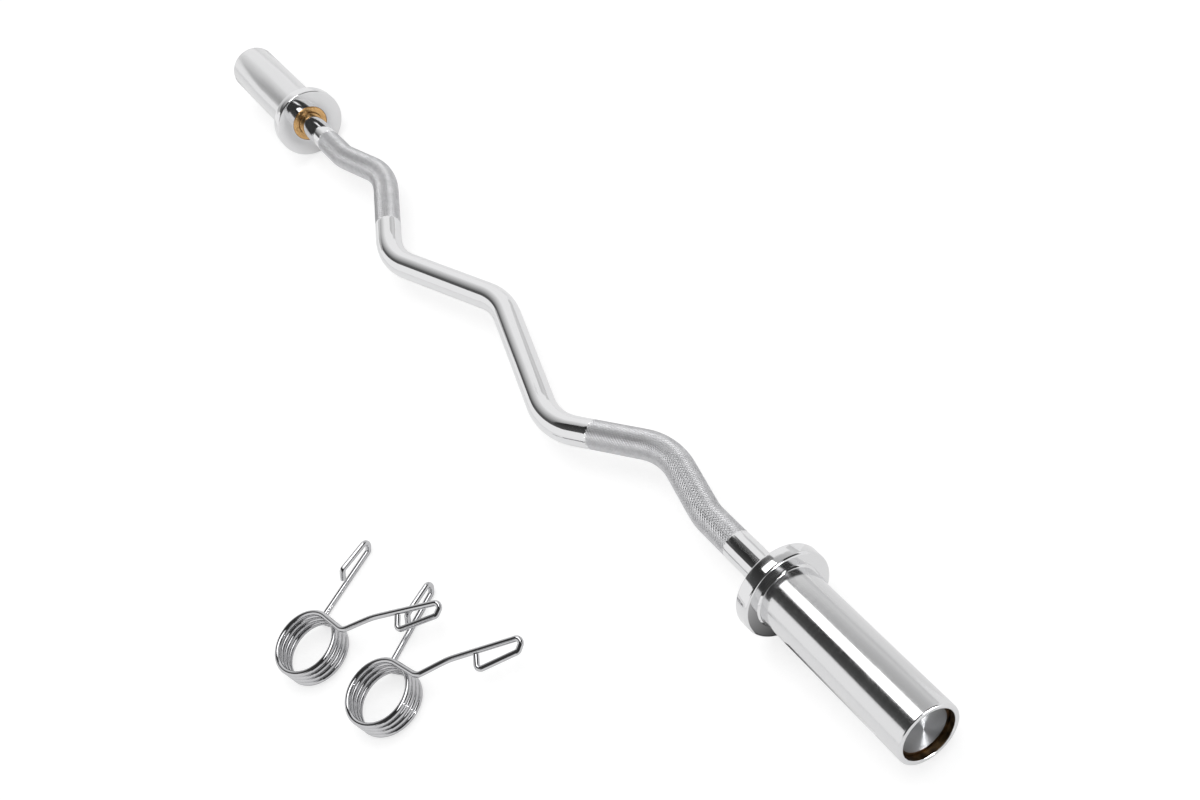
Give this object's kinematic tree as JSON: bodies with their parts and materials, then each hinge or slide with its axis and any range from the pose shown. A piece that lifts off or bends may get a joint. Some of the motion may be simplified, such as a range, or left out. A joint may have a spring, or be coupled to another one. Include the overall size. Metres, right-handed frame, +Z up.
{
  "type": "curl bar",
  "caption": "Zigzag chromed curl bar with turning plate sleeves, flanged plate stops and recessed end caps, with a pair of bent-wire spring collars lying beside it.",
  "frame": {"origin": "on the floor, below the middle of the sleeve axis", "axes": "+X along the sleeves towards the right end, +Y across the bar in the plane of its bends, +Z up"},
  "size_m": [1.194, 0.3752, 0.073],
  "materials": {
    "chromed_steel": "polished chrome plate; the grips are knurled and look matt",
    "turned_cap": "turned face with fine rings",
    "bronze": "plain turned bronze",
    "plain_steel": "plain steel",
    "plated_wire": "bright plated spring wire"
  },
  "bodies": {
    "shaft": {"shaft": "chromed_steel", "left_inner_washer": "plain_steel", "left_outer_washer": "plain_steel", "left_inner_snap_ring": "plain_steel", "left_outer_snap_ring": "plain_steel", "right_inner_washer": "plain_steel", "right_outer_washer": "plain_steel", "right_inner_snap_ring": "plain_steel", "right_outer_snap_ring": "plain_steel"},
    "left_sleeve": {"left_sleeve_tube": "chromed_steel", "left_flange_ring": "chromed_steel", "left_inner_bush": "bronze", "left_outer_bush": "bronze", "left_end_cap": "turned_cap"},
    "right_sleeve": {"right_sleeve_tube": "chromed_steel", "right_flange_ring": "chromed_steel", "right_inner_bush": "bronze", "right_outer_bush": "bronze", "right_end_cap": "turned_cap"},
    "left_collar": {"left_collar_coil": "plated_wire", "left_collar_lower_arm": "plated_wire"},
    "left_collar_arm": {"left_collar_upper_arm": "plated_wire"},
    "right_collar": {"right_collar_coil": "plated_wire", "right_collar_lower_arm": "plated_wire"},
    "right_collar_arm": {"right_collar_upper_arm": "plated_wire"}
  },
  "joints": [
    {"name": "left_sleeve_spin", "type": "hinge", "parent": "shaft", "child": "left_sleeve", "pos_m": [-0.5, 0, 0.0365], "axis": [1, 0, 0], "continuous": true},
    {"name": "right_sleeve_spin", "type": "hinge", "parent": "shaft", "child": "right_sleeve", "pos_m": [0.5, 0, 0.0365], "axis": [1, 0, 0], "continuous": true},
    {"name": "right_collar_lift", "type": "slide", "parent": "shaft", "child": "right_collar", "axis": [0, 0, 1], "range_m": [0, 0.12]},
    {"name": "left_collar_lift", "type": "slide", "parent": "right_collar", "child": "left_collar", "axis": [0, 0, 1], "range_m": [0, 0.12]},
    {"name": "left_collar_squeeze", "type": "hinge", "parent": "left_collar", "child": "left_collar_arm", "pos_m": [0.137, -0.309, 0.0145], "axis": [0, 0, 1], "range_deg": [0, 35], "stiffness_Nm_per_rad": 9.2, "deforming": ["left_collar_coil"]},
    {"name": "right_collar_squeeze", "type": "hinge", "parent": "right_collar", "child": "right_collar_arm", "pos_m": [0.233, -0.282, 0.0145], "axis": [0, 0, 1], "range_deg": [0, 35], "stiffness_Nm_per_rad": 9.2, "deforming": ["right_collar_coil"]}
  ]
}
